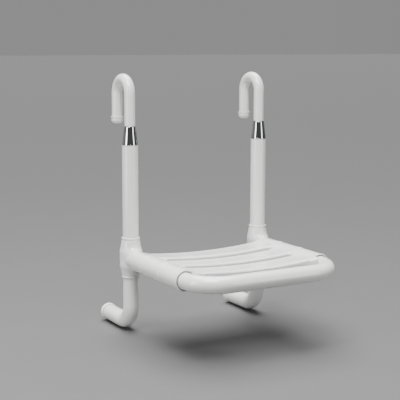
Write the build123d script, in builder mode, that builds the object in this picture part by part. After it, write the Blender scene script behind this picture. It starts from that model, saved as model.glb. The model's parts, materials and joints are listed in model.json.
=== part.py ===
"""Hang-on shower seat: two hooks go over a grab rail, two buffers rest on the wall.

The frame's origin is the axis of the rail, midway between the hooks. +Z is up, +X is to
the right of someone facing the wall, and -Y points away from the wall, to the seat's front.
All sizes are in millimetres.
"""
import os

from build123d import *

# ---- driving dimensions ----
rail_d = 33.0  # grab rail that the hooks hang over
rail_play = 2.5  # radial room between the hook's bend and the rail
hanger_spacing = 310.0  # between the two hanger tubes' axes
tube_od = 33.0  # white tubes
tube_wall = 3.5  # nylon over the steel tubes inside
core_wall = 2.0
hook_od = 22.0  # white sleeve of the hook
hook_wall = 3.0
hook_core_wall = 2.5
hook_rear_drop = 50.0  # rail axis down to the end cap behind the rail
cap_wall = 2.0  # end cap over the hook's sleeve
cap_length = 15.0
nut_top_drop = 67.0  # rail axis down to the chrome nut
nut_length = 38.0
nut_ledge = 0.75  # nut's upper end over the hook's sleeve
travel = 60.0  # how far each hook pulls out of its hanger
bush_length = 40.0
stop_length = 10.0
flange = 2.0  # bush's flange on the hanger's rim
spigot_length = 12.0
arm_drop = 340.0  # rail axis down to the seat arms' axis
hub_above = 45.0  # barrel-shaped hub, above and below the arm's axis
hub_below = 39.0
rim_wall = 2.5  # hub's rims round the white tubes
waist_wall = 6.5  # hub's waist round the white tubes
arm_wall = 4.0  # hub bosses and the slats' side sleeves, round the bow
boss_end = 84.0  # hanger axis forward to the end of the hub's boss
socket = 12.0  # how far a white tube enters the hub
bow_bend = 62.0
bow_straight = 1.0  # arm left bare between the last sleeve and the bow's bend
slat_pitch = 75.0
slot_width = 8.0
slat_lead = 13.5  # each slat's front edge ahead of its own side sleeve
slat_plate = 5.0
slat_lip = 14.0
slat_wall = 4.0
arm_to_slot = 32.0  # arm's axis in to the ends of the slots
seat_dish = 6.0  # how far the slats sag between the slots' ends
seat_rise = 16.0  # slat top over the arm's axis, at the slots' ends
rib_count = 3
rib_width = 3.0
leg_below = 138.0  # arm's axis down to the leg's horizontal end
leg_bend = 40.0
wall_gap = 87.0  # rail axis back to the wall
buffer_wall = 1.5  # buffer's rim round the leg
buffer_depth = 11.5
buffer_groove = 2.5
bolt_d = 8.0
bolt_head_d = 13.0
bolt_head = 5.0
set_screw_d = 6.0
dowel_d = 6.0
dowel_length = 17.0
slat_screw_d = 4.0
buffer_screw_d = 5.0
buffer_head_d = 10.0

# ---- fits ----
push_fit = 0.05  # radial room between pieces that are pushed together
running_fit = 0.07  # radial room between pieces that turn or slide
free_gap = 0.4  # room between pieces that pass without touching
joint_gap = 0.2  # seam between neighbouring mouldings
thick = 5.0  # solid end of a cap, and a tube's end short of one

# ---- sizes that follow ----
core_od = tube_od - 2 * tube_wall
core_id = core_od - 2 * core_wall
hook_core_od = hook_od - 2 * hook_wall
cap_od = hook_od + 2 * cap_wall
nut_top_od = hook_od + 2 * nut_ledge
arm_od = tube_od + 2 * arm_wall
sleeve_r = arm_od / 2
hub_rim_od = tube_od + 2 * rim_wall
hub_waist_od = tube_od + 2 * waist_wall
buffer_od = tube_od + 2 * buffer_wall
stub_od = core_id - 2 * push_fit

half_spacing = hanger_spacing / 2
hook_bend = rail_d / 2 + rail_play + hook_od / 2
hook_centre_z = -rail_play
hanger_y = -hook_bend
nut_top_z = -nut_top_drop
nut_bottom_z = nut_top_z - nut_length
tube_top_z = nut_bottom_z - flange
bush_end_z = tube_top_z - bush_length
stop_top_z = bush_end_z - travel - free_gap
hook_core_end_z = stop_top_z - stop_length - thick
cap_top_z = -hook_rear_drop
cap_end_z = cap_top_z - cap_length

arm_z = -arm_drop
hub_top_z = arm_z + hub_above
hub_bottom_z = arm_z - hub_below
leg_z = arm_z - leg_below
leg_end_y = wall_gap - buffer_depth - buffer_groove

boss_end_y = hanger_y - boss_end
bow_start_y = hanger_y - core_od / 2 - 20.0
bow_y = boss_end_y - 2 * slat_pitch - bow_straight - bow_bend
boss_socket_y = bow_start_y + 2.0
bow_sleeve_y = boss_socket_y - joint_gap
stub_end_y = boss_end_y - 6.0
slat_side = half_spacing - arm_to_slot

set_screw_y = bow_sleeve_y - 19.0
dowel_z = arm_z + 6.0
dowel_ys = (set_screw_y + 2.0, set_screw_y - 18.0)
dowel_outer_x = half_spacing - tube_od / 2 + 3.0
dowel_inner_x = dowel_outer_x - dowel_length - joint_gap
slat_screw_ys = tuple(boss_end_y - slat_pitch * step for step in (0.5, 1.5))

os.makedirs("parts", exist_ok=True)


def save(piece, label):
    """Name a finished piece and write it."""
    piece.label = label
    export_step(piece, f"parts/{label}.step")


def side_plane(x):
    """The upright plane through one hanger: its first axis is +Y, its second +Z."""
    return Plane.YZ.offset(x)


def across_plane(y):
    """The upright plane across the seat at y: its axes are +X and +Z, facing the front."""
    return Plane.XZ.offset(-y)


# Holes under the arms for the set screws and the slats' screws, and beside them for dowels
both_arms = (-half_spacing, half_spacing)
under_arm = Plane.XY.offset(arm_z - arm_od)
set_screw_depth = 2.5  # into the spigot
with BuildPart() as arm_holes:
    with BuildSketch(under_arm):
        with Locations(*[(x, set_screw_y) for x in both_arms]):
            Circle(set_screw_d / 2 + push_fit)
    extrude(amount=arm_od - stub_od / 2 + set_screw_depth)
    with BuildSketch(under_arm):
        with Locations(*[(x, y) for x in both_arms for y in slat_screw_ys]):
            Circle(slat_screw_d / 2 + push_fit)
    extrude(amount=arm_od - core_id / 2 + core_wall / 2)
    for sign in (-1, 1):
        with BuildSketch(Plane.YZ.offset(sign * dowel_inner_x)):
            with Locations(*[(y, dowel_z) for y in dowel_ys]):
                Circle(dowel_d / 2 + push_fit)
        extrude(amount=sign * (dowel_outer_x - dowel_inner_x + joint_gap))

# =====================================================================================
# Hooks, clamp nuts, hangers, hubs and legs: one of each per side
# =====================================================================================
for side, x in zip(("left", "right"), both_arms):
    hanger_top = Plane(origin=(x, hanger_y, 0), x_dir=(1, 0, 0), z_dir=(0, 0, 1))

    # Steel tube of the hook, from inside the hanger, over the rail and down behind it
    hook_core_low = (hanger_y, hook_core_end_z)
    with BuildPart() as hook_core:
        with BuildLine(side_plane(x)) as hook_path:
            front_leg = Line(hook_core_low, (hanger_y, hook_centre_z))
            over_rail = TangentArc(front_leg @ 1, (hook_bend, hook_centre_z), tangent=front_leg % 1)
            Line(over_rail @ 1, (hook_bend, cap_end_z + thick))
        with BuildSketch(hanger_top.offset(hook_core_end_z)):
            Circle(hook_core_od / 2)
            Circle(hook_core_od / 2 - hook_core_wall, mode=Mode.SUBTRACT)
        sweep(path=hook_path.wires()[0])
    save(hook_core.part, f"{side}_hook_core")

    # White nylon sleeve over the hook's bend
    hook_sleeve_z = nut_top_z + free_gap
    with BuildPart() as hook_sleeve:
        with BuildLine(side_plane(x)) as sleeve_path:
            front_leg = Line((hanger_y, hook_sleeve_z), (hanger_y, hook_centre_z))
            over_rail = TangentArc(front_leg @ 1, (hook_bend, hook_centre_z), tangent=front_leg % 1)
            Line(over_rail @ 1, (hook_bend, cap_top_z))
        with BuildSketch(hanger_top.offset(hook_sleeve_z)):
            Circle(hook_od / 2)
            Circle(hook_core_od / 2 + push_fit, mode=Mode.SUBTRACT)
        sweep(path=sleeve_path.wires()[0])
    save(hook_sleeve.part, f"{side}_hook_sleeve")

    # Rounded nylon cap on the hook's rear end
    cap_round = 0.23 * cap_od
    cap_plane = Plane(origin=(x, hook_bend, cap_end_z), z_dir=(0, 0, 1))
    with BuildPart() as hook_cap:
        with BuildSketch(cap_plane):
            Circle(cap_od / 2)
        extrude(amount=cap_length)
        fillet(hook_cap.faces().sort_by(Axis.Z)[0].edges(), cap_round)
        fillet(hook_cap.faces().sort_by(Axis.Z)[-1].edges(), cap_round / 3)
        with BuildSketch(cap_plane.offset(thick)):
            Circle(hook_core_od / 2 + push_fit)
        extrude(amount=cap_length, mode=Mode.SUBTRACT)
    save(hook_cap.part, f"{side}_hook_end_cap")

    # Ring pressed on the hook's lower end, which stops the hook at its full height
    with BuildPart() as hook_stop:
        with BuildSketch(hanger_top.offset(stop_top_z - stop_length)):
            Circle(core_id / 2 - free_gap)
            Circle(hook_core_od / 2 + push_fit, mode=Mode.SUBTRACT)
        extrude(amount=stop_length)
    save(hook_stop.part, f"{side}_hook_stop_ring")

    # Chrome cone nut that closes the collet on the hook
    cone_top_r = nut_top_od / 2
    cone_bottom_r = tube_od / 2
    nut_bore_r = core_od / 2 + running_fit
    nut_seat_r = hook_core_od / 2 + 2.3
    spigot_top_z = nut_bottom_z + spigot_length
    nut_seat_z = nut_top_z - 7.0
    with BuildPart() as cone_nut:
        with BuildSketch(side_plane(x)):
            with BuildLine():
                Polyline(
                    (hanger_y + hook_core_od / 2 + free_gap, nut_top_z),
                    (hanger_y + cone_top_r, nut_top_z),
                    (hanger_y + cone_bottom_r, nut_bottom_z),
                    (hanger_y + nut_bore_r, nut_bottom_z),
                    (hanger_y + nut_bore_r, spigot_top_z),
                    (hanger_y + nut_seat_r, nut_seat_z),
                    (hanger_y + hook_core_od / 2 + free_gap, nut_seat_z),
                    close=True,
                )
            make_face()
        revolve(axis=Axis((x, hanger_y, 0), (0, 0, 1)))
    save(cone_nut.part, f"{side}_cone_nut")

    # Split collet between the nut's inner cone and the hook
    collet_ring = 4.0  # unslit length
    collet_slit = 1.5
    collet_bottom_z = spigot_top_z + free_gap
    collet_top_z = nut_seat_z - free_gap
    collet_slope = (nut_bore_r - nut_seat_r) / (nut_seat_z - spigot_top_z)
    collet_top_r = nut_seat_r - free_gap
    collet_bottom_r = collet_top_r + collet_slope * (collet_top_z - collet_bottom_z)
    with BuildPart() as collet:
        with BuildSketch(side_plane(x)):
            with BuildLine():
                Polyline(
                    (hanger_y + hook_core_od / 2 + running_fit, collet_top_z),
                    (hanger_y + collet_top_r, collet_top_z),
                    (hanger_y + collet_bottom_r, collet_bottom_z),
                    (hanger_y + hook_core_od / 2 + running_fit, collet_bottom_z),
                    close=True,
                )
            make_face()
        revolve(axis=Axis((x, hanger_y, 0), (0, 0, 1)))
        with BuildSketch(hanger_top.offset(collet_bottom_z + collet_ring)):
            Rectangle(tube_od, collet_slit)
            Rectangle(collet_slit, tube_od)
        extrude(amount=nut_length, mode=Mode.SUBTRACT)
    save(collet.part, f"{side}_clamp_collet")

    # Guide bush in the hanger's mouth: flange, threaded spigot and the hook's guide
    with BuildPart() as bush:
        with BuildSketch(hanger_top.offset(bush_end_z)):
            Circle(core_id / 2 - push_fit)
        extrude(amount=bush_length)
        with BuildSketch(hanger_top.offset(tube_top_z)):
            Circle(tube_od / 2)
        extrude(amount=flange - joint_gap)
        with BuildSketch(hanger_top.offset(tube_top_z)):
            Circle(core_od / 2)
        extrude(amount=flange + spigot_length)
        with BuildSketch(hanger_top.offset(bush_end_z)):
            Circle(hook_core_od / 2 + running_fit)
        extrude(amount=2 * bush_length, mode=Mode.SUBTRACT)
    save(bush.part, f"{side}_guide_bush")

    # Steel tube of the hanger, through the hub and bent towards the wall
    core_short = 2.0  # the steel ends inside the white sleeve
    with BuildPart() as hanger_core:
        with BuildLine(side_plane(x)) as hanger_path:
            drop = Line((hanger_y, tube_top_z), (hanger_y, leg_z + leg_bend))
            knee = TangentArc(drop @ 1, (hanger_y + leg_bend, leg_z), tangent=drop % 1)
            Line(knee @ 1, (leg_end_y - core_short, leg_z))
        with BuildSketch(hanger_top.offset(tube_top_z)):
            Circle(core_od / 2)
            Circle(core_id / 2, mode=Mode.SUBTRACT)
        sweep(path=hanger_path.wires()[0])
        with BuildSketch(Plane(origin=(x, hanger_y, arm_z), z_dir=(0, 1, 0))):
            Circle(bolt_d / 2 + push_fit)
        extrude(amount=core_od, both=True, mode=Mode.SUBTRACT)
    save(hanger_core.part, f"{side}_hanger_core")

    # White sleeve of the hanger, from its bright rim into the hub's upper socket
    hanger_sleeve_end = hub_top_z - socket
    with BuildPart() as hanger_sleeve:
        with BuildSketch(hanger_top.offset(hanger_sleeve_end)):
            Circle(tube_od / 2)
            Circle(core_od / 2 + push_fit, mode=Mode.SUBTRACT)
        extrude(amount=tube_top_z - hanger_sleeve_end)
    save(hanger_sleeve.part, f"{side}_hanger_sleeve")

    # Barrel-shaped hub with a boss for the seat's arm
    rim_height = 4.0
    rim_seam = 1.0  # the dark line between a rim and the barrel
    seam_depth = 0.8
    rim_round = 1.2
    hub_fillet = 9.0
    hub_axis = Axis((x, hanger_y, 0), (0, 0, 1))
    boss_plane = Plane(origin=(x, hanger_y, arm_z), x_dir=(1, 0, 0), z_dir=(0, -1, 0))
    barrel_top = hub_top_z - rim_height - rim_seam
    barrel_bottom = hub_bottom_z + rim_height + rim_seam
    barrel_end_y = hanger_y + hub_rim_od / 2 - seam_depth
    with BuildPart() as hub:
        with BuildSketch(side_plane(x)):
            with BuildLine():
                Line((hanger_y, hub_bottom_z), (barrel_end_y, hub_bottom_z))
                Line((barrel_end_y, hub_bottom_z), (barrel_end_y, barrel_bottom))
                ThreePointArc(
                    (barrel_end_y, barrel_bottom),
                    (hanger_y + hub_waist_od / 2, arm_z),
                    (barrel_end_y, barrel_top),
                )
                Line((barrel_end_y, barrel_top), (barrel_end_y, hub_top_z))
                Line((barrel_end_y, hub_top_z), (hanger_y, hub_top_z))
                Line((hanger_y, hub_top_z), (hanger_y, hub_bottom_z))
            make_face()
        revolve(axis=hub_axis)
        with BuildSketch(boss_plane):
            Circle(sleeve_r)
        extrude(amount=boss_end)
        saddle = hub.edges().filter_by(GeomType.BSPLINE)
        fillet(saddle, hub_fillet)
        for rim_z in (hub_bottom_z, hub_top_z - rim_height):
            with BuildSketch(hanger_top.offset(rim_z)):
                Circle(hub_rim_od / 2)
            extrude(amount=rim_height)
        rims = hub.faces().filter_by(GeomType.PLANE).filter_by(Axis.Z)
        fillet(rims.sort_by(Axis.Z)[0].edges(), rim_round)
        fillet(rims.sort_by(Axis.Z)[-1].edges(), rim_round)
        with BuildSketch(hanger_top.offset(hub_bottom_z)):
            Circle(core_od / 2 + push_fit)
        extrude(amount=hub_above + hub_below, mode=Mode.SUBTRACT)
        for socket_z in (hub_bottom_z, hub_top_z - socket):
            with BuildSketch(hanger_top.offset(socket_z)):
                Circle(tube_od / 2 + push_fit)
            extrude(amount=socket, mode=Mode.SUBTRACT)
        with BuildSketch(boss_plane):
            Circle(core_od / 2 + push_fit)
        extrude(amount=boss_end, mode=Mode.SUBTRACT)
        with BuildSketch(boss_plane.offset(hanger_y - boss_socket_y)):
            Circle(tube_od / 2 + push_fit)
        extrude(amount=boss_end, mode=Mode.SUBTRACT)
        with BuildSketch(boss_plane):
            Circle(bolt_head_d / 2 + push_fit)
        extrude(amount=-hub_waist_od, mode=Mode.SUBTRACT)
        add(arm_holes.part, mode=Mode.SUBTRACT)
    save(hub.part, f"{side}_hub")

    # White sleeve of the leg: down from the hub and round the knee to the wall
    leg_top_z = hub_bottom_z + socket
    with BuildPart() as leg_sleeve:
        with BuildLine(side_plane(x)) as leg_path:
            drop = Line((hanger_y, leg_top_z), (hanger_y, leg_z + leg_bend))
            knee = TangentArc(drop @ 1, (hanger_y + leg_bend, leg_z), tangent=drop % 1)
            Line(knee @ 1, (leg_end_y, leg_z))
        with BuildSketch(hanger_top.offset(leg_top_z)):
            Circle(tube_od / 2)
            Circle(core_od / 2 + push_fit, mode=Mode.SUBTRACT)
        sweep(path=leg_path.wires()[0])
    save(leg_sleeve.part, f"{side}_leg_sleeve")

    # Insert in the leg's end, with the screw that holds the buffer
    insert_length = 20.0
    screw_r = buffer_screw_d / 2
    leg_end = Plane(origin=(x, leg_end_y, leg_z), x_dir=(1, 0, 0), z_dir=(0, 1, 0))
    with BuildPart() as insert:
        with BuildSketch(leg_end.offset(-insert_length - core_short)):
            Circle(core_id / 2 - push_fit)
            Circle(screw_r, mode=Mode.SUBTRACT)
        extrude(amount=insert_length)
    save(insert.part, f"{side}_buffer_insert")

    # Soft buffer that rests on the wall, on a neck that leaves a narrow groove
    head_sunk = 5.0  # depth of the recess for the screw's head
    head_depth = 3.0
    buffer_round = 3.0
    with BuildPart() as wall_buffer:
        with BuildSketch(leg_end.offset(buffer_groove)):
            Circle(buffer_od / 2)
        extrude(amount=buffer_depth)
        fillet(wall_buffer.edges(), buffer_round)
        with BuildSketch(leg_end.offset(joint_gap)):
            Circle(tube_od / 2 - core_short)
        extrude(amount=buffer_groove)
        with BuildSketch(leg_end):
            Circle(screw_r + push_fit)
        extrude(amount=buffer_depth + buffer_groove, mode=Mode.SUBTRACT)
        with BuildSketch(leg_end.offset(buffer_groove + buffer_depth - head_sunk)):
            Circle(buffer_head_d / 2 + push_fit)
        extrude(amount=head_sunk, mode=Mode.SUBTRACT)
    save(wall_buffer.part, f"{side}_wall_buffer")

    # Screw through the buffer into the insert, with a hexagon socket
    head_plane = leg_end.offset(buffer_groove + buffer_depth - head_sunk)
    with BuildPart() as buffer_screw:
        with BuildSketch(head_plane):
            Circle(buffer_head_d / 2)
        extrude(amount=head_depth)
        with BuildSketch(head_plane):
            Circle(screw_r - push_fit)
        extrude(amount=-(insert_length + buffer_groove + buffer_depth - head_sunk))
        with BuildSketch(head_plane.offset(head_depth / 3)):
            RegularPolygon(buffer_head_d / 4, 6)
        extrude(amount=head_depth, mode=Mode.SUBTRACT)
    save(buffer_screw.part, f"{side}_buffer_screw")

    # Steel spigot that carries the arm, seated on the hanger's tube
    with BuildPart() as stub:
        with BuildSketch(boss_plane):
            Circle(stub_od / 2)
        extrude(amount=hanger_y - stub_end_y)
        with BuildSketch(boss_plane):
            Circle(core_od / 2)
        extrude(amount=hanger_y - bow_start_y - joint_gap)
        with BuildSketch(hanger_top.offset(arm_z - core_od)):
            Circle(core_od / 2 + push_fit)
        extrude(amount=2 * core_od, mode=Mode.SUBTRACT)
        with BuildSketch(boss_plane):
            Circle(bolt_d / 2 + push_fit)
        extrude(amount=hanger_y - stub_end_y, mode=Mode.SUBTRACT)
        add(arm_holes.part, mode=Mode.SUBTRACT)
    save(stub.part, f"{side}_arm_spigot")

    # Bolt that draws the spigot onto the hanger, with a hexagon socket in its head
    bolt_reach = 40.0  # how far the bolt enters the spigot
    rear_plane = Plane(origin=(x, hanger_y + core_od / 2, arm_z), x_dir=(1, 0, 0), z_dir=(0, 1, 0))
    rear_plane = rear_plane.offset(joint_gap)
    with BuildPart() as hub_bolt:
        with BuildSketch(rear_plane):
            Circle(bolt_head_d / 2 - push_fit)
        extrude(amount=bolt_head)
        with BuildSketch(rear_plane):
            Circle(bolt_d / 2 - push_fit)
        extrude(amount=-(core_od + bolt_reach))
        with BuildSketch(rear_plane.offset(0.4 * bolt_head)):
            RegularPolygon(bolt_head_d / 4, 6)
        extrude(amount=bolt_head, mode=Mode.SUBTRACT)
    save(hub_bolt.part, f"{side}_hub_bolt")

    # Plug over the bolt's head, a little below the hub's surface
    plug_sunk = 0.6
    with BuildPart() as hub_plug:
        with BuildSketch(rear_plane.offset(bolt_head + joint_gap)):
            Circle(bolt_head_d / 2 - push_fit)
        extrude(amount=hub_waist_od / 2 - core_od / 2 - 2 * joint_gap - bolt_head - plug_sunk)
    save(hub_plug.part, f"{side}_hub_plug")

# =====================================================================================
# Front bow: a U of steel tube in a white sleeve, its ends inside the hubs' bosses
# =====================================================================================


def bow_line(start_y):
    """The bow's centre line, from its left end round the front to its right end."""
    left_end = (-half_spacing, start_y)
    right_end = (half_spacing, start_y)
    corners = [left_end, (-half_spacing, bow_y), (half_spacing, bow_y), right_end]
    FilletPolyline(*corners, radius=bow_bend)


def bow_section(outer_r, inner_r):
    """The ring of tube wall at the bow's left end."""
    with Locations((-half_spacing, arm_z)):
        Circle(outer_r)
        Circle(inner_r, mode=Mode.SUBTRACT)


with BuildPart() as bow_core:
    with BuildLine(Plane.XY.offset(arm_z)) as bow_path:
        bow_line(bow_start_y)
    with BuildSketch(across_plane(bow_start_y)):
        bow_section(core_od / 2, core_id / 2)
    sweep(path=bow_path.wires()[0])
    add(arm_holes.part, mode=Mode.SUBTRACT)
save(bow_core.part, "bow_core")

with BuildPart() as bow_sleeve:
    with BuildLine(Plane.XY.offset(arm_z)) as bow_path:
        bow_line(bow_sleeve_y)
    with BuildSketch(across_plane(bow_sleeve_y)):
        bow_section(tube_od / 2, core_od / 2 + push_fit)
    sweep(path=bow_path.wires()[0])
    add(arm_holes.part, mode=Mode.SUBTRACT)
save(bow_sleeve.part, "bow_sleeve")


# =====================================================================================
# Seat: three ribbed slats, the front two with sleeves that slide on the bow's arms
# =====================================================================================
seam_x = half_spacing - sleeve_r - joint_gap  # a slat's side meets its sleeve here
slot_corner = slot_width / 2
bay_side = slat_side - slot_corner  # the ribbed part of a slat ends here
rib_pitch = 2 * bay_side / (rib_count + 1)
rib_steps = [step - (rib_count - 1) / 2 for step in range(rib_count)]
lip_wall = 1.6  # round the recess where the front sleeve ends
mouth_depth = 6.0
corner_reach = 15.0  # front slat's corner, out towards the bow's bend
corner_slope = 2.0
rear_side_drop = 4.5  # rear slat's sides below the sleeves' tops


def across_line(drop, end_z):
    """A line across the seat: a shallow arc between the slots' ends, which rises to the arms."""
    side_z = arm_z + seat_rise - drop
    dish = ThreePointArc((-slat_side, side_z), (0, side_z - seat_dish), (slat_side, side_z))
    Spline((-half_spacing, end_z - drop), dish @ 0, tangents=[(1, 0), dish % 0])
    Spline(dish @ 1, (half_spacing, end_z - drop), tangents=[dish % 1, (1, 0)])


def across_band(upper, lower, end_z):
    """The outline of the band between two such lines, from arm to arm."""
    across_line(upper, end_z)
    across_line(lower, end_z)
    Line((-half_spacing, end_z - upper), (-half_spacing, end_z - lower))
    Line((half_spacing, end_z - upper), (half_spacing, end_z - lower))


def slot_end(slot_y, edge):
    """Corners where a slot closes and runs on as a seam; edge is -1 in front of it, 1 behind."""
    return [
        (bay_side, slot_y + edge * slot_width / 2),
        (slat_side + slot_corner, slot_y + edge * joint_gap / 2),
    ]


def slat_outline(name, front_y, rear_y, sleeve_front_y, sleeve_rear_y):
    """Half of a slat seen from above, from its middle's front edge to its middle's rear edge."""
    front = [(0, front_y)] + slot_end(front_y - slot_width / 2, 1) + [(seam_x, sleeve_front_y)]
    if name == "front":
        corner_x = slat_side + corner_reach
        corner_y = front_y - slot_corner
        front = [(0, front_y), (bay_side, front_y), (slat_side, corner_y)]
        front += [(corner_x, corner_y), (corner_x + corner_slope, sleeve_front_y)]
    rear = [(seam_x, sleeve_rear_y)] + slot_end(rear_y + slot_width / 2, -1)[::-1] + [(0, rear_y)]
    if name == "rear":
        sleeve_rear_y = rear_y
        rear = [(0, rear_y)]
    return front + [(half_spacing, sleeve_front_y), (half_spacing, sleeve_rear_y)] + rear


for number, name in enumerate(("rear", "middle", "front")):
    is_rear = name == "rear"
    sleeve_front_y = boss_end_y - number * slat_pitch
    sleeve_rear_y = sleeve_front_y + slat_pitch - joint_gap
    front_y = sleeve_front_y - slat_lead
    rear_y = front_y + slat_pitch - slot_width
    back_y = sleeve_rear_y
    end_z = arm_z + sleeve_r
    if is_rear:
        rear_y = hanger_y - hub_waist_od / 2 - 1.5
        back_y = rear_y
        end_z = arm_z + sleeve_r - rear_side_drop
    outline = slat_outline(name, front_y, rear_y, sleeve_front_y, sleeve_rear_y)

    with BuildPart() as slat:
        # The whole slat seen from the front, as deep as its lips
        with BuildSketch(across_plane(back_y)):
            with BuildLine():
                across_band(0, slat_lip, end_z)
            make_face()
        extrude(amount=back_y - front_y + slot_corner)

        # Its outline from above: slots between the slats, closed seams beside the arms
        with BuildSketch(under_arm):
            for sign in (-1, 1):
                with BuildLine():
                    Polyline(*[(sign * px, py) for px, py in outline], close=True)
                make_face()
        extrude(amount=2 * arm_od, mode=Mode.INTERSECT)

        # Pockets between the ribs underneath
        with BuildSketch(across_plane(rear_y - slat_wall)):
            with BuildLine():
                across_band(slat_plate, slat_lip + arm_od, end_z)
            make_face()
            with Locations((0, arm_z)):
                Rectangle(2 * bay_side, 4 * arm_od, mode=Mode.INTERSECT)
            with Locations(*[(step * rib_pitch, arm_z) for step in rib_steps]):
                Rectangle(rib_width, 4 * arm_od, mode=Mode.SUBTRACT)
        extrude(amount=rear_y - front_y - 2 * slat_wall, mode=Mode.SUBTRACT)

        if is_rear:
            # Hollowed where it lies against the hubs and their bosses
            for x in both_arms:
                with BuildSketch(across_plane(hanger_y)):
                    with Locations((x, arm_z)):
                        Circle(sleeve_r + joint_gap)
                extrude(amount=hanger_y - sleeve_front_y + slat_pitch, mode=Mode.SUBTRACT)
                with BuildSketch(under_arm):
                    with Locations((x, hanger_y)):
                        Circle(hub_waist_od / 2 + free_gap)
                extrude(amount=2 * arm_od, mode=Mode.SUBTRACT)
        else:
            # Sleeves that slide on the bow's arms
            with BuildSketch(across_plane(sleeve_rear_y)):
                with Locations(*[(x, arm_z) for x in both_arms]):
                    Circle(sleeve_r)
            extrude(amount=sleeve_rear_y - sleeve_front_y)
            with BuildSketch(across_plane(sleeve_rear_y)):
                with Locations(*[(x, arm_z) for x in both_arms]):
                    Circle(tube_od / 2 + push_fit)
            extrude(amount=slat_pitch + slat_lead, mode=Mode.SUBTRACT)
        if name == "front":
            with BuildSketch(across_plane(sleeve_front_y + mouth_depth)):
                with Locations(*[(x, arm_z) for x in both_arms]):
                    Circle(sleeve_r - lip_wall)
            extrude(amount=mouth_depth, mode=Mode.SUBTRACT)
            with BuildLine(Plane.XY.offset(arm_z)) as clear_path:
                bow_line(sleeve_rear_y)
            with BuildSketch(across_plane(sleeve_rear_y)):
                with Locations((-half_spacing, arm_z)):
                    Circle(tube_od / 2 + joint_gap)
            sweep(path=clear_path.wires()[0], mode=Mode.SUBTRACT)
        add(arm_holes.part, mode=Mode.SUBTRACT)
    save(slat.part, f"{name}_slat")

# =====================================================================================
# Fasteners of the seat
# =====================================================================================
slat_screw_sunk = 0.3
set_screw_sunk = 0.5
arm_bottom = Plane.XY.offset(arm_z - sleeve_r)

with BuildPart() as slat_screws:
    with BuildSketch(arm_bottom.offset(slat_screw_sunk)):
        with Locations(*[(x, y) for x in both_arms for y in slat_screw_ys]):
            Circle(slat_screw_d / 2)
    extrude(amount=sleeve_r - core_id / 2 + core_wall / 2 - slat_screw_sunk)
save(slat_screws.part, "slat_screws")

with BuildPart() as set_screws:
    with BuildSketch(arm_bottom.offset(set_screw_sunk)):
        with Locations(*[(x, set_screw_y) for x in both_arms]):
            Circle(set_screw_d / 2)
    extrude(amount=sleeve_r - stub_od / 2 + set_screw_depth - 2 * set_screw_sunk)
    with BuildSketch(arm_bottom.offset(set_screw_sunk)):
        with Locations(*[(x, set_screw_y) for x in both_arms]):
            RegularPolygon(0.28 * set_screw_d, 6)
    extrude(amount=set_screw_d / 2, mode=Mode.SUBTRACT)
save(set_screws.part, "hub_set_screws")

with BuildPart() as dowels:
    for sign in (-1, 1):
        with BuildSketch(Plane.YZ.offset(sign * (dowel_inner_x + joint_gap))):
            with Locations(*[(y, dowel_z) for y in dowel_ys]):
                Circle(dowel_d / 2)
        extrude(amount=sign * (dowel_length - joint_gap))
save(dowels.part, "slat_dowels")
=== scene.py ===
"""A shower seat that hangs on a wall rail: its pieces, their finishes, and a plain studio."""
import json
import math

import bmesh
import bpy
import numpy as np
from mathutils import Matrix, Vector


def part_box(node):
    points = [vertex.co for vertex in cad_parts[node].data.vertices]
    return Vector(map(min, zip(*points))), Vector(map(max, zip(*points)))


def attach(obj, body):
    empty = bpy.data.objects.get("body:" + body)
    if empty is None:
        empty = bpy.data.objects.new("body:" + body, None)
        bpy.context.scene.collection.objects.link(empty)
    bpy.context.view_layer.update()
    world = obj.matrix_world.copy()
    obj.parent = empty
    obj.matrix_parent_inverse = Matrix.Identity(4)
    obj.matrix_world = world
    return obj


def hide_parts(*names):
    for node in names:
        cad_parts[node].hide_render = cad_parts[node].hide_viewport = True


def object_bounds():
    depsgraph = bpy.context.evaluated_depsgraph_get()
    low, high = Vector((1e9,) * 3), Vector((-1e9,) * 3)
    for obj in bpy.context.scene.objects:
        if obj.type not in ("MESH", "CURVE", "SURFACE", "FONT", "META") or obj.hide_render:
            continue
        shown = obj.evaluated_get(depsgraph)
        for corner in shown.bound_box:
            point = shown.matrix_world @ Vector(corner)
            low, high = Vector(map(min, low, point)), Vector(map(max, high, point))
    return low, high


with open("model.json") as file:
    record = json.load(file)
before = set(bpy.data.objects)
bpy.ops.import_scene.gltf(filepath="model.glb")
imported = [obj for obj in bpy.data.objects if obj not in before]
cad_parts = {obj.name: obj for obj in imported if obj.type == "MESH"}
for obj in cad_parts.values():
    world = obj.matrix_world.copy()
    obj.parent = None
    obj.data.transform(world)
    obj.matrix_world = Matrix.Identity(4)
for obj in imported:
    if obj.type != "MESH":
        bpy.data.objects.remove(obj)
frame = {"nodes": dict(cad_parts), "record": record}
cad_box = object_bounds()
MM = 0.001

# ---------------------------------------------------------------------------------------
# Layout. The seat hangs from two upright hangers, mirror images about x = 0.
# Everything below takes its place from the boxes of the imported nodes.
# ---------------------------------------------------------------------------------------


def middle(node):
    """The centre of a node's box."""
    low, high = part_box(node)
    return (Vector(low) + Vector(high)) / 2


def box_of(node):
    """A node's lowest and highest corners, as vectors."""
    low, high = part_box(node)
    return Vector(low), Vector(high)


hanger_x = middle("right_hanger_sleeve").x
hanger_y = middle("right_hanger_sleeve").y
arm_z = middle("bow_sleeve").z
tube_radius = (box_of("bow_sleeve")[1].z - box_of("bow_sleeve")[0].z) / 2
sides = (("left", -hanger_x), ("right", hanger_x))

# ---------------------------------------------------------------------------------------
# White nylon. Tubes and fittings are polyamide coloured white all through: a hard, bright
# gloss, faint waves from the mould or the extruder, and fine scuffs from cleaning.
# ---------------------------------------------------------------------------------------


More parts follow.
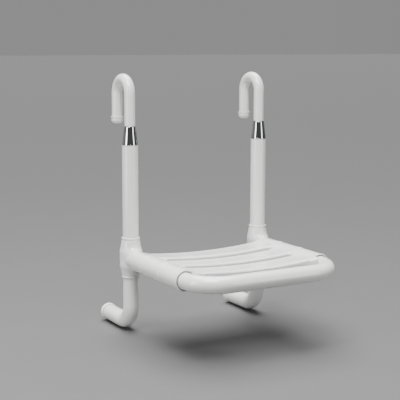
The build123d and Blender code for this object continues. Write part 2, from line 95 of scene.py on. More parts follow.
def new_group(name, inputs, outputs):
    """A shader node group with named number inputs and named outputs."""
    group = bpy.data.node_groups.new(name, "ShaderNodeTree")
    for label, value in inputs.items():
        socket = group.interface.new_socket(label, in_out="INPUT", socket_type="NodeSocketFloat")
        socket.default_value = value
    for label in outputs:
        group.interface.new_socket(label, in_out="OUTPUT", socket_type="NodeSocketFloat")
    return group, group.nodes.new("NodeGroupInput"), group.nodes.new("NodeGroupOutput")


def node_in(tree, kind, settings=(), links=()):
    """A node with its plain inputs set and its other inputs linked."""
    node = tree.nodes.new(kind)
    for label, value in dict(settings).items():
        node.inputs[label].default_value = value
    for label, socket in dict(links).items():
        tree.links.new(socket, node.inputs[label])
    return node


def maths(tree, operation, *terms):
    """A Math node on sockets and numbers, and its result."""
    node = tree.nodes.new("ShaderNodeMath")
    node.operation = operation
    for place, term in enumerate(terms):
        if isinstance(term, (int, float)):
            node.inputs[place].default_value = term
        else:
            tree.links.new(term, node.inputs[place])
    return node.outputs[0]


# Moulded skin: a broad wave and a fine grain as one height, and slow clouds in the colour
skin_group, skin_in, skin_out = new_group(
    "moulded_skin", {"Wave Scale": 90.0, "Grain Scale": 1400.0, "Grain Share": 0.3}, ("Height", "Clouds")
)
place = skin_group.nodes.new("ShaderNodeTexCoord").outputs["Object"]
wave = node_in(
    skin_group,
    "ShaderNodeTexNoise",
    {"Detail": 1.5},
    {"Vector": place, "Scale": skin_in.outputs["Wave Scale"]},
)
grain = node_in(
    skin_group,
    "ShaderNodeTexNoise",
    {"Detail": 3.0},
    {"Vector": place, "Scale": skin_in.outputs["Grain Scale"]},
)
clouds = node_in(skin_group, "ShaderNodeTexNoise", {"Scale": 14.0, "Detail": 4.0}, {"Vector": place})
fine = maths(skin_group, "MULTIPLY", grain.outputs[0], skin_in.outputs["Grain Share"])
skin_group.links.new(maths(skin_group, "ADD", wave.outputs[0], fine), skin_out.inputs["Height"])
skin_group.links.new(clouds.outputs[0], skin_out.inputs["Clouds"])

# Handling: soft smears, and short fine scratches that lie every way
handling_group, handling_in, handling_out = new_group(
    "handling", {"Smear Scale": 22.0, "Scratch Scale": 60.0}, ("Smears", "Scratches")
)
place = handling_group.nodes.new("ShaderNodeTexCoord").outputs["Object"]
smear = node_in(
    handling_group,
    "ShaderNodeTexNoise",
    {"Detail": 5.0, "Roughness": 0.6, "Distortion": 0.8},
    {"Vector": place, "Scale": handling_in.outputs["Smear Scale"]},
)
smear_mask = node_in(
    handling_group, "ShaderNodeMapRange", {"From Min": 0.48, "From Max": 0.72}, {"Value": smear.outputs[0]}
)
scratch = 0.0
for turn in (0.35, 1.3, 2.4):
    turned = node_in(
        handling_group,
        "ShaderNodeMapping",
        {"Rotation": (0.4 * turn, 0.7 * turn, turn), "Scale": (1.0, 14.0, 14.0)},
        {"Vector": place},
    )
    streak = node_in(
        handling_group,
        "ShaderNodeTexNoise",
        {"Detail": 2.0},
        {"Vector": turned.outputs[0], "Scale": handling_in.outputs["Scratch Scale"]},
    )
    thin = node_in(
        handling_group,
        "ShaderNodeMapRange",
        {"From Min": 0.66, "From Max": 0.7},
        {"Value": streak.outputs[0]},
    )
    scratch = maths(handling_group, "MAXIMUM", thin.outputs[0], scratch)
handling_group.links.new(smear_mask.outputs[0], handling_out.inputs["Smears"])
handling_group.links.new(scratch, handling_out.inputs["Scratches"])


def new_material(name, sockets):
    """A material with one Principled shader, its plain sockets set."""
    material = bpy.data.materials.new(name)
    material.use_nodes = True
    tree = material.node_tree
    shader = tree.nodes["Principled BSDF"]
    for label, value in sockets.items():
        shader.inputs[label].default_value = value
    return material, tree, shader


def use_group(tree, group, **settings):
    """One of the shared effects, placed in a material with its own values."""
    node = tree.nodes.new("ShaderNodeGroup")
    node.node_tree = group
    for label, value in settings.items():
        node.inputs[label.replace("_", " ").title()].default_value = value
    return node


def blend_colours(tree, factor, first, second):
    """A colour between two, by a mask."""
    mix = tree.nodes.new("ShaderNodeMix")
    mix.data_type = "RGBA"
    mix.inputs["A"].default_value = (*first, 1.0)
    mix.inputs["B"].default_value = (*second, 1.0)
    tree.links.new(factor, mix.inputs["Factor"])
    return mix.outputs["Result"]


def scaled(tree, value, low, high):
    """A mask from 0 to 1 as a number from low to high."""
    node = node_in(tree, "ShaderNodeMapRange", {"To Min": low, "To Max": high}, {"Value": value})
    return node.outputs[0]


def bumped(tree, shader, height, depth):
    """Gives a shader its fine relief; depth is the height of a full step."""
    bump = node_in(tree, "ShaderNodeBump", {"Distance": depth}, {"Height": height})
    tree.links.new(bump.outputs[0], shader.inputs["Normal"])


def nylon(name, colours, gloss, wave_scale, depth, settings):
    """White polyamide: colours and gloss are pairs, from clean to cloudy or rubbed."""
    material, tree, shader = new_material(name, {"IOR": 1.53, **settings})
    skin = use_group(tree, skin_group, wave_scale=wave_scale)
    handling = use_group(tree, handling_group)
    tree.links.new(blend_colours(tree, skin.outputs["Clouds"], *colours), shader.inputs["Base Color"])
    rubbed = maths(tree, "MULTIPLY_ADD", handling.outputs["Scratches"], 0.6, handling.outputs["Smears"])
    tree.links.new(scaled(tree, rubbed, *gloss), shader.inputs["Roughness"])
    nicks = maths(tree, "MULTIPLY_ADD", handling.outputs["Scratches"], -0.25, skin.outputs["Height"])
    bumped(tree, shader, nicks, depth)
    return material


white_nylon = nylon(
    "white_nylon",
    ((0.80, 0.80, 0.785), (0.765, 0.765, 0.745)),
    (0.17, 0.3),
    70.0,
    0.04 * MM,
    {"Coat Weight": 0.35, "Coat Roughness": 0.08, "Subsurface Weight": 0.04, "Subsurface Scale": 0.002},
)

# ---------------------------------------------------------------------------------------
# Hook sleeves. A white nylon tube shrunk on the steel hook, from the chrome nut up over
# the rail and down behind it. Both ends are cut square and softly rounded.
# ---------------------------------------------------------------------------------------


def route(corners, radius, step=math.radians(3)):
    """Points and directions along straight runs joined by arcs of one radius."""
    stops = [(corners[0], (corners[1] - corners[0]).normalized())]
    for before, corner, after in zip(corners, corners[1:], corners[2:]):
        ahead = (corner - before).normalized()
        away = (after - corner).normalized()
        angle = ahead.angle(away)
        inward = (away - ahead * ahead.dot(away)).normalized()
        start = corner - ahead * radius * math.tan(angle / 2)
        centre = start + inward * radius
        count = round(angle / step)
        for number in range(count + 1):
            turn = angle * number / count
            point = centre + radius * (ahead * math.sin(turn) - inward * math.cos(turn))
            if (point - stops[-1][0]).length > 0.1 * MM:
                stops.append((point, ahead * math.cos(turn) + inward * math.sin(turn)))
    stops.append((corners[-1], (corners[-1] - corners[-2]).normalized()))
    return stops


def tube_rings(stops, outer, inner, edge):
    """Rings round a tube's whole skin: its outside, its rounded ends and its bore."""
    turns = [math.radians(angle) for angle in (0, 22.5, 45, 67.5, 90)]
    (start, ahead), (end, away) = stops[0], stops[-1]
    rings = [
        (start + ahead * edge * (1 - math.cos(turn)), ahead, outer - edge * (1 - math.sin(turn)))
        for turn in turns
    ]
    rings += [(point, direction, outer) for point, direction in stops[1:-1]]
    rings += [
        (end - away * edge * (1 - math.cos(turn)), away, outer - edge * (1 - math.sin(turn)))
        for turn in reversed(turns)
    ]
    return rings + [(point, direction, inner) for point, direction in reversed(stops)]


def ring_mesh(name, rings, side, around=96, closed=True):
    """A mesh over rings of (centre, axis, radius); side is square to every axis."""
    angles = [2 * math.pi * number / around for number in range(around)]
    builder = bmesh.new()
    loops = []
    for centre, axis, radius in rings:
        across = axis.cross(side)
        corners = [centre + radius * (side * math.cos(a) + across * math.sin(a)) for a in angles]
        loops.append([builder.verts.new(corner) for corner in corners])
    pairs = list(zip(loops, loops[1:] + loops[:1] if closed else loops[1:]))
    for lower, upper in pairs:
        for number in range(around):
            following = (number + 1) % around
            corners = (lower[number], lower[following], upper[following], upper[number])
            builder.faces.new(corners).smooth = True
    bmesh.ops.remove_doubles(builder, verts=builder.verts, dist=0.001 * MM)
    bmesh.ops.recalc_face_normals(builder, faces=builder.faces)
    mesh = bpy.data.meshes.new(name)
    builder.to_mesh(mesh)
    builder.free()
    piece = bpy.data.objects.new(name, mesh)
    bpy.context.scene.collection.objects.link(piece)
    piece.modifiers.new("even_normals", "WEIGHTED_NORMAL")
    return piece


def fit(piece, node, body, material):
    """Puts a piece in the place of a CAD node, on its body and in its finish."""
    piece.data.materials.append(material)
    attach(piece, body)
    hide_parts(node)


X_AXIS = Vector((1, 0, 0))
Y_AXIS = Vector((0, 1, 0))
Z_AXIS = Vector((0, 0, 1))

for side, x in sides:
    low, high = box_of(f"{side}_hook_sleeve")
    rear_low = box_of(f"{side}_hook_end_cap")[1].z
    hook_radius = (high.x - low.x) / 2
    bend = (high.y - low.y) / 2 - hook_radius
    crown = high.z - hook_radius
    corners = [
        Vector((x, -bend, low.z)),
        Vector((x, -bend, crown)),
        Vector((x, bend, crown)),
        Vector((x, bend, rear_low)),
    ]
    core_radius = (box_of(f"{side}_hook_core")[1].x - box_of(f"{side}_hook_core")[0].x) / 2
    rings = tube_rings(route(corners, bend), hook_radius, core_radius + 0.1 * MM, 0.9 * MM)
    sleeve = ring_mesh(f"{side}_hook_skin", rings, X_AXIS)
    fit(sleeve, f"{side}_hook_sleeve", f"{side}_hook", white_nylon)

# ---------------------------------------------------------------------------------------
# Hook end caps. Moulded nylon thimbles pressed on the hooks' rear ends: a narrow collar
# at the mouth, a waist, and a round foot.
# ---------------------------------------------------------------------------------------


def turned_rings(axis_point, axis, profile):
    """Rings of a turned piece; profile is a list of (along the axis, radius)."""
    return [(axis_point + axis * along, axis, radius) for along, radius in profile]


def quarter(along, radius, size, first, last, steps=6):
    """Profile points round a quarter circle of the given size, between two angles."""
    points = []
    for number in range(steps + 1):
        angle = math.radians(first + (last - first) * number / steps)
        points.append((along + size * math.sin(angle), radius + size * math.cos(angle)))
    return points


for side, x in sides:
    low, high = box_of(f"{side}_hook_end_cap")
    outer = (high.x - low.x) / 2
    length = high.z - low.z
    foot = 7.5 * MM
    collar = 0.9 * MM
    collar_depth = 3.2 * MM
    bore = (box_of(f"{side}_hook_core")[1].x - box_of(f"{side}_hook_core")[0].x) / 2
    body_radius = outer - 0.7 * MM
    profile = [(0.0, 0.0)] + quarter(foot, body_radius - foot, foot, -90, 0, 10)
    profile += [(length - collar_depth - 0.5 * MM, body_radius)]
    profile += quarter(length - collar_depth + collar, outer - collar, collar, -60, 0, 4)
    profile += quarter(length - collar, outer - collar, collar, 0, 90, 5)
    profile += [(length, bore + 0.1 * MM), (5 * MM, bore + 0.1 * MM), (5 * MM, 0.0)]
    base = Vector((x, middle(f"{side}_hook_end_cap").y, low.z))
    cap = ring_mesh(f"{side}_hook_cap", turned_rings(base, Z_AXIS, profile), X_AXIS, closed=False)
    fit(cap, f"{side}_hook_end_cap", f"{side}_hook", white_nylon)

# ---------------------------------------------------------------------------------------
# Clamp nuts. Turned brass cones, polished and chrome plated, with a fine turned lip at
# each end. The plating mirrors the room, under a few finger marks and water spots.
# ---------------------------------------------------------------------------------------
chrome, chrome_tree, chrome_shader = new_material("chrome", {"Metallic": 1.0, "IOR": 2.8})
chrome_skin = use_group(chrome_tree, skin_group, wave_scale=40.0, grain_scale=2600.0, grain_share=0.12)
chrome_handling = use_group(chrome_tree, handling_group, smear_scale=45.0, scratch_scale=110.0)
chrome_tone = blend_colours(
    chrome_tree, chrome_handling.outputs["Smears"], (0.66, 0.67, 0.68), (0.58, 0.585, 0.59)
)
chrome_tree.links.new(chrome_tone, chrome_shader.inputs["Base Color"])
chrome_gloss = scaled(chrome_tree, chrome_handling.outputs["Smears"], 0.035, 0.12)
chrome_tree.links.new(chrome_gloss, chrome_shader.inputs["Roughness"])
bumped(chrome_tree, chrome_shader, chrome_skin.outputs["Height"], 0.006 * MM)

for side, x in sides:
    low, high = box_of(f"{side}_cone_nut")
    height = high.z - low.z
    wide = (high.x - low.x) / 2
    narrow = hook_radius + 0.75 * MM
    lip = 0.6 * MM
    slope = (wide - narrow) / height
    inside = tube_radius - 3.4 * MM
    throat = hook_radius - 2.4 * MM
    profile = [(0.0, inside), (0.0, wide - lip)] + quarter(lip, wide - lip, lip, -90, 0, 4)[1:]
    profile += [(1.8 * MM, wide), (2.1 * MM, wide - 0.25 * MM)]
    profile += [(2.4 * MM, wide - 2.4 * MM * slope)]
    profile += [(height - lip, narrow + lip * slope)] + quarter(height - lip, narrow - lip, lip, 0, 90, 4)[1:]
    profile += [(height, throat), (height - 7 * MM, throat), (12 * MM, inside)]
    base = Vector((x, hanger_y, low.z))
    nut = ring_mesh(f"{side}_clamp_nut", turned_rings(base, Z_AXIS, profile), X_AXIS, around=128)
    fit(nut, f"{side}_cone_nut", f"{side}_nut", chrome)

# ---------------------------------------------------------------------------------------
# Hanger sleeves. Straight lengths of extruded white nylon tube over the steel, their
# lower ends set into the hubs. The bush's flange closes the upper end as a bright rim.
# ---------------------------------------------------------------------------------------
for side, x in sides:
    low, high = box_of(f"{side}_hanger_sleeve")
    stops = [(Vector((x, hanger_y, low.z)), Z_AXIS), (Vector((x, hanger_y, high.z)), Z_AXIS)]
    rings = tube_rings(stops, tube_radius, tube_radius - 3.4 * MM, 0.5 * MM)
    sleeve = ring_mesh(f"{side}_hanger_skin", rings, X_AXIS)
    fit(sleeve, f"{side}_hanger_sleeve", "seat", white_nylon)

# ---------------------------------------------------------------------------------------
# Hubs. Injection-moulded nylon barrels: a rounded rim at each mouth above a narrow
# groove, and a boss that flows forward out of the barrel to carry the seat's arm.
# ---------------------------------------------------------------------------------------


def meet(first, second, radius):
    """Distance to what two bodies share, the edge between them rounded."""
    corner = np.hypot(np.maximum(first + radius, 0), np.maximum(second + radius, 0))
    return np.minimum(np.maximum(first, second), -radius) + corner


def join(first, second, radius):
    """Distance to two bodies together, the crease between them filleted."""
    return -meet(-first, -second, radius)


def carve(body, tool, radius):
    """Distance to a body with a tool's shape taken out, the rim rounded."""
    return meet(body, -tool, radius)


def smooth(t):
    """An even step from 0 to 1."""
    t = np.clip(t, 0, 1)
    return t * t * (3 - 2 * t)


def stations(low, high, coarse, fine, zones):
    """Grid places from low to high, finer wherever their size lies in a zone."""
    places = [low]
    while places[-1] < high:
        near = any(first <= abs(places[-1]) <= last for first, last in zones)
        places.append(places[-1] + (fine if near else coarse))
    return np.array(places)


def slope_of(distance, points):
    """How a distance function rises at each point."""
    reach = 0.01 * MM
    rises = []
    for axis in range(3):
        shift = np.zeros(3)
        shift[axis] = reach
        rises.append(distance(*(points + shift).T) - distance(*(points - shift).T))
    return np.stack(rises, axis=1) / (2 * reach)


def drawn_skin(name, distance, grid):
    """A mesh on the zero surface of a distance function, one corner in each cell it crosses.

    Each corner starts at the middle of its cell's crossings and is drawn onto the surface.
    """
    value = distance(*np.meshgrid(*grid, indexing="ij"))
    inside = value < 0
    cells = np.array(value.shape) - 1
    total = np.zeros((cells.prod(), 3))
    hits = np.zeros(cells.prod(), int)
    rims = []
    for axis in range(3):
        across, beyond = (axis + 1) % 3, (axis + 2) % 3
        first = np.take(inside, range(cells[axis]), axis)
        second = np.take(inside, range(1, cells[axis] + 1), axis)
        start = np.argwhere(first != second)
        stop = start.copy()
        stop[:, axis] += 1
        here, there = value[tuple(start.T)], value[tuple(stop.T)]
        point = np.stack([grid[n][start[:, n]] for n in range(3)], axis=1)
        gap = grid[axis][stop[:, axis]] - grid[axis][start[:, axis]]
        point[:, axis] += gap * here / (here - there)
        ring = []
        for step, lift in ((-1, -1), (0, -1), (0, 0), (-1, 0)):
            cell = start.copy()
            cell[:, across] += step
            cell[:, beyond] += lift
            flat = np.ravel_multi_index(cell.T, cells)
            np.add.at(total, flat, point)
            np.add.at(hits, flat, 1)
            ring.append(flat)
        ring = np.stack(ring, axis=1)
        outward = (here < 0)[:, None]
        rims.append(np.where(outward, ring, ring[:, ::-1]))
    used = np.flatnonzero(hits)
    points = total[used] / hits[used][:, None]
    index = np.zeros(len(hits), int)
    index[used] = np.arange(len(used))
    for _ in range(5):
        rise = slope_of(distance, points)
        size = np.maximum((rise**2).sum(axis=1), 0.05)
        move = distance(*points.T) / size
        points = points - np.clip(move, -0.4 * MM, 0.4 * MM)[:, None] * rise
    mesh = bpy.data.meshes.new(name)
    mesh.from_pydata(points.tolist(), [], index[np.concatenate(rims)].tolist())
    mesh.polygons.foreach_set("use_smooth", [True] * len(mesh.polygons))
    rise = slope_of(distance, points)
    rise /= np.maximum(np.linalg.norm(rise, axis=1), 1e-9)[:, None]
    mesh.normals_split_custom_set_from_vertices(rise.tolist())
    piece = bpy.data.objects.new(name, mesh)
    bpy.context.scene.collection.objects.link(piece)
    return piece


arm_radius = box_of("middle_slat")[1].x - hanger_x
hub_low, hub_high = box_of("right_hub")
waist_radius = hub_high.x - hanger_x
ring_y = [box_of("right_hub")[0].y, box_of("front_slat")[1].y]
pitch = box_of("middle_slat")[1].y - ring_y[1]
ring_y.append(ring_y[1] - pitch)
half_seam = 0.12 * MM
bead_height = 0.7 * MM
bead_width = 1.1 * MM
push_bore = tube_radius + 0.1 * MM


def beaded(along, ends):
    """How far the arm's skin stands out: a small bead beside each moulded end."""
    rise = 0
    for end in ends:
        rise = rise + bead_height * np.exp(-(((np.abs(along - end) - 1.3 * MM) / bead_width) ** 2))
    return rise


rim_radius = 19.0 * MM
rim_height = 4.0 * MM
groove = 1.0 * MM
groove_depth = 0.8 * MM
socket_depth = 12 * MM
screw_y = middle("hub_set_screws").y
plug_radius = 6.55 * MM
rim_top, rim_bottom = hub_high.z, hub_low.z


def hub_distance(x, y, z, hub_x):
    """A hub's skin: barrel, boss, rims, and the bores for tubes, bolt and set screw."""
    radial = np.hypot(x - hub_x, y - hanger_y)
    round_arm = np.hypot(x - hub_x, z - arm_z)
    barrel_top = rim_top - rim_height - groove
    barrel_bottom = rim_bottom + rim_height + groove
    core_radius = rim_radius - groove_depth
    reach = np.where(z > arm_z, barrel_top - arm_z, arm_z - barrel_bottom)
    bulge = waist_radius - (waist_radius - core_radius - 0.3 * MM) * ((z - arm_z) / reach) ** 2
    barrel = meet(radial - bulge, np.maximum(z - barrel_top, barrel_bottom - z), 0.8 * MM)
    boss_end = ring_y[0] + half_seam - y
    boss = meet(round_arm - arm_radius - beaded(y, ring_y[:1]), boss_end, 0.5 * MM)
    boss = np.maximum(boss, y - hanger_y)
    body = join(barrel, boss, 2.5 * MM + 10 * MM * smooth(np.abs(z - arm_z) / (20 * MM)))
    body = np.maximum(body, np.abs(x - hub_x) - waist_radius + 0.01 * MM)
    core = np.maximum(radial - core_radius, np.maximum(z - rim_top + 1 * MM, rim_bottom + 1 * MM - z))
    body = np.minimum(body, core)
    for low, high in ((rim_bottom, rim_bottom + rim_height), (rim_top - rim_height, rim_top)):
        rim = meet(radial - rim_radius, np.maximum(z - high, low - z), 1.4 * MM)
        body = np.minimum(body, rim)
    inside = np.minimum(rim_top - socket_depth - z, z - rim_bottom - socket_depth)
    socket = np.maximum(radial - push_bore, inside)
    body = carve(body, socket, 0.3 * MM)
    body = carve(body, np.maximum(round_arm - push_bore, y - hanger_y + 33 * MM), 0.3 * MM)
    body = carve(body, np.maximum(round_arm - plug_radius, hanger_y - y), 0.4 * MM)
    screw = np.maximum(np.hypot(x - hub_x, y - screw_y) - 3.1 * MM, z - arm_z)
    return carve(body, screw, 0.4 * MM)


for side, x in sides:
    reach = waist_radius + 2 * MM
    hub_grid = (
        np.arange(x - reach, x + reach, 0.8 * MM),
        stations(ring_y[0] - 1 * MM, hanger_y + reach, 0.9 * MM, 0.35 * MM, [(-ring_y[0] - 5 * MM, 1)]),
        stations(
            rim_bottom - 1 * MM,
            rim_top + 1 * MM,
            0.9 * MM,
            0.35 * MM,
            [(0, 8 * MM - rim_top), (-rim_bottom - 8 * MM, 1)],
        ),
    )
    hub = drawn_skin(f"{side}_hub_body", lambda px, py, pz: hub_distance(px, py, pz, x), hub_grid)
    fit(hub, f"{side}_hub", "seat", white_nylon)

# ---------------------------------------------------------------------------------------
# Hub plugs. Small nylon discs pressed over the bolt heads at the hubs' backs, crowned,
# with a hair of shadow round them.
# ---------------------------------------------------------------------------------------
for side, x in sides:
    low, high = box_of(f"{side}_hub_plug")
    depth = high.y - low.y
    plug = (high.x - low.x) / 2
    profile = [(0.0, 0.0), (0.0, plug), (depth - 1.2 * MM, plug)]
    profile += quarter(depth - 1.2 * MM, plug - 0.8 * MM, 0.8 * MM, 0, 70, 4)[1:]
    profile += [(depth - 0.15 * MM, 0.6 * plug), (depth, 0.25 * plug), (depth, 0.0)]
    base = Vector((x, low.y, arm_z))
    plug = ring_mesh(f"{side}_bolt_plug", turned_rings(base, Y_AXIS, profile), X_AXIS, 64, closed=False)
    fit(plug, f"{side}_hub_plug", "seat", white_nylon)

# ---------------------------------------------------------------------------------------
# Leg sleeves. White nylon tube on the hanger's steel, down from the hub and round a
# tight bend towards the wall.
# ---------------------------------------------------------------------------------------
for side, x in sides:
    low, high = box_of(f"{side}_leg_sleeve")
    leg_z = low.z + tube_radius
    corners = [
        Vector((x, hanger_y, high.z)),
        Vector((x, hanger_y, leg_z)),
        Vector((x, high.y, leg_z)),
    ]
    rings = tube_rings(route(corners, 40 * MM), tube_radius, tube_radius - 3.4 * MM, 0.8 * MM)
    sleeve = ring_mesh(f"{side}_leg_skin", rings, X_AXIS)
    fit(sleeve, f"{side}_leg_sleeve", "seat", white_nylon)

# ---------------------------------------------------------------------------------------
# Wall buffers. Soft white rubber discs screwed to the legs' ends, on a neck that leaves
# a groove. The face that meets the wall is slightly dished round the sunk screw.
# ---------------------------------------------------------------------------------------
soft_white, soft_tree, soft_shader = new_material("soft_white", {"IOR": 1.5})
soft_skin = use_group(soft_tree, skin_group, wave_scale=120.0, grain_scale=2200.0, grain_share=0.8)
soft_handling = use_group(soft_tree, handling_group, smear_scale=60.0)
soft_tone = blend_colours(soft_tree, soft_handling.outputs["Smears"], (0.74, 0.74, 0.72), (0.6, 0.6, 0.58))
soft_tree.links.new(soft_tone, soft_shader.inputs["Base Color"])
soft_gloss = scaled(soft_tree, soft_skin.outputs["Clouds"], 0.42, 0.62)
soft_tree.links.new(soft_gloss, soft_shader.inputs["Roughness"])
bumped(soft_tree, soft_shader, soft_skin.outputs["Height"], 0.05 * MM)

for side, x in sides:
    low, high = box_of(f"{side}_wall_buffer")
    depth = high.y - low.y
    disc = (high.x - low.x) / 2 - 0.01 * MM
    neck = tube_radius - 2 * MM
    groove_end = 2.3 * MM
    soft = 3.4 * MM
    sunk = 5 * MM
    head = (box_of(f"{side}_buffer_screw")[1].x - box_of(f"{side}_buffer_screw")[0].x) / 2
    profile = [(0.0, 2.6 * MM), (0.0, neck), (groove_end, neck)]
    profile += quarter(groove_end + 1.6 * MM, disc - 1.6 * MM, 1.6 * MM, -90, 0)
    profile += quarter(depth - soft, disc - soft, soft, 0, 90, 8)
    profile += [(depth, 10.5 * MM), (depth - 0.5 * MM, 8 * MM), (depth - 0.6 * MM, head + 0.5 * MM)]
    profile += [(depth - sunk, head + 0.1 * MM), (depth - sunk, 2.6 * MM)]
    base = Vector((x, low.y, middle(f"{side}_wall_buffer").z))
    buffer = ring_mesh(f"{side}_buffer", turned_rings(base, Y_AXIS, profile), X_AXIS)
    fit(buffer, f"{side}_wall_buffer", "seat", soft_white)

# ---------------------------------------------------------------------------------------
# Front bow. One length of white nylon over steel tube, bent to a wide U, its ends inside
# the hubs' bosses and the slats' sleeves.
# ---------------------------------------------------------------------------------------
bow_bend = 62 * MM
low, high = box_of("bow_sleeve")
bow_y = low.y + tube_radius
corners = [
    Vector((-hanger_x, high.y, arm_z)),
    Vector((-hanger_x, bow_y, arm_z)),
    Vector((hanger_x, bow_y, arm_z)),
    Vector((hanger_x, high.y, arm_z)),
]
rings = tube_rings(route(corners, bow_bend, math.radians(2)), tube_radius, tube_radius - 3.4 * MM, 0.8 * MM)
bow = ring_mesh("front_bow", rings, Z_AXIS, around=128)
fit(bow, "bow_sleeve", "seat", white_nylon)

# ---------------------------------------------------------------------------------------
# Seat slats. Three ribbed nylon mouldings, dished across the seat, each highest along a
# soft ridge near its front edge and falling away behind it. The front two grow out of
# sleeves round the bow; the rear one lies between the hubs' bosses.
# ---------------------------------------------------------------------------------------
seat_nylon = nylon(
    "seat_nylon",
    ((0.80, 0.80, 0.785), (0.755, 0.755, 0.735)),
    (0.2, 0.36),
    110.0,
    0.05 * MM,
    {"Coat Weight": 0.2, "Coat Roughness": 0.12, "Subsurface Weight": 0.04, "Subsurface Scale": 0.002},
)
slot_width = 8 * MM
slot_side = hanger_x - 32 * MM  # centre to the slots' ends
slot_ahead = 17.5 * MM  # a slot's centre ahead of the ring beside it
seat_rise = 16 * MM
dish = 6 * MM
fall = 4.5 * MM  # from the ridge to a slat's rear edge
ridge = 10 * MM  # from the front edge back to the ridge
nose = 1.2 * MM  # from the ridge down to the front edge
plate = 5 * MM
lip_depth = 14 * MM
lip_wall = 4 * MM
rib_half = 1.5 * MM
ribs = [0.5 * (slot_side - slot_width / 2) * step for step in (-1, 0, 1)]


def seat_line(a, arm_rise):
    """Height over the arm's axis at a distance a from the seat's middle."""
    across = hanger_x - slot_side
    t = np.clip((a - slot_side) / across, 0, 1)
    lean = 2 * dish / slot_side * across
    shoulder = seat_rise + lean * t + (3 * (arm_rise - seat_rise) - 2 * lean) * t**2
    shoulder = shoulder + (lean - 2 * (arm_rise - seat_rise)) * t**3
    return np.where(a < slot_side, seat_rise - dish * (1 - (a / slot_side) ** 2), shoulder)


def ahead_of(a, y, line):
    """Signed distance to a line of corners across half the seat: negative in front of it."""
    nearest = np.full(np.shape(a), 1.0)
    for (x0, y0), (x1, y1) in zip(line, line[1:]):
        run, climb = x1 - x0, y1 - y0
        t = np.clip(((a - x0) * run + (y - y0) * climb) / (run**2 + climb**2), 0, 1)
        nearest = np.minimum(nearest, np.hypot(a - x0 - run * t, y - y0 - climb * t))
    xs, ys = zip(*line)
    return np.where(y > np.interp(a, xs, ys), nearest, -nearest)


def seam(number):
    """The line between two slats: along the slot, then slanting back to the ring."""
    slot_y = ring_y[number] - slot_ahead
    foot = hanger_x - arm_radius
    corners = [(0, slot_y), (slot_side + slot_width / 2, slot_y)]
    return corners + [(foot, ring_y[number]), (hanger_x + 40 * MM, ring_y[number])]


front_edge = ring_y[2] - slot_ahead + slot_width / 2
corner_line = [
    (0, front_edge),
    (slot_side - slot_width / 2, front_edge),
    (slot_side, front_edge - slot_width / 2),
    (slot_side + 15 * MM, front_edge - slot_width / 2),
    (slot_side + 17 * MM, ring_y[2]),
    (hanger_x + 40 * MM, ring_y[2]),
]


def bow_distance(a, y, z):
    """Distance from the front bow's centre line, on either half."""
    round_arm = np.hypot(a - hanger_x, z - arm_z)
    centre_x, centre_y = hanger_x - bow_bend, bow_y + bow_bend
    round_bend = np.hypot(np.hypot(a - centre_x, y - centre_y) - bow_bend, z - arm_z)
    round_front = np.hypot(y - bow_y, z - arm_z)
    front = np.where(a > centre_x, round_bend, round_front)
    return np.where(y > centre_y, round_arm, front)


def slot_distance(a, y, number):
    """Distance into a slot with round ends."""
    reach = slot_side - slot_width / 2
    return np.hypot(np.maximum(a - reach, 0), y - ring_y[number] + slot_ahead) - slot_width / 2


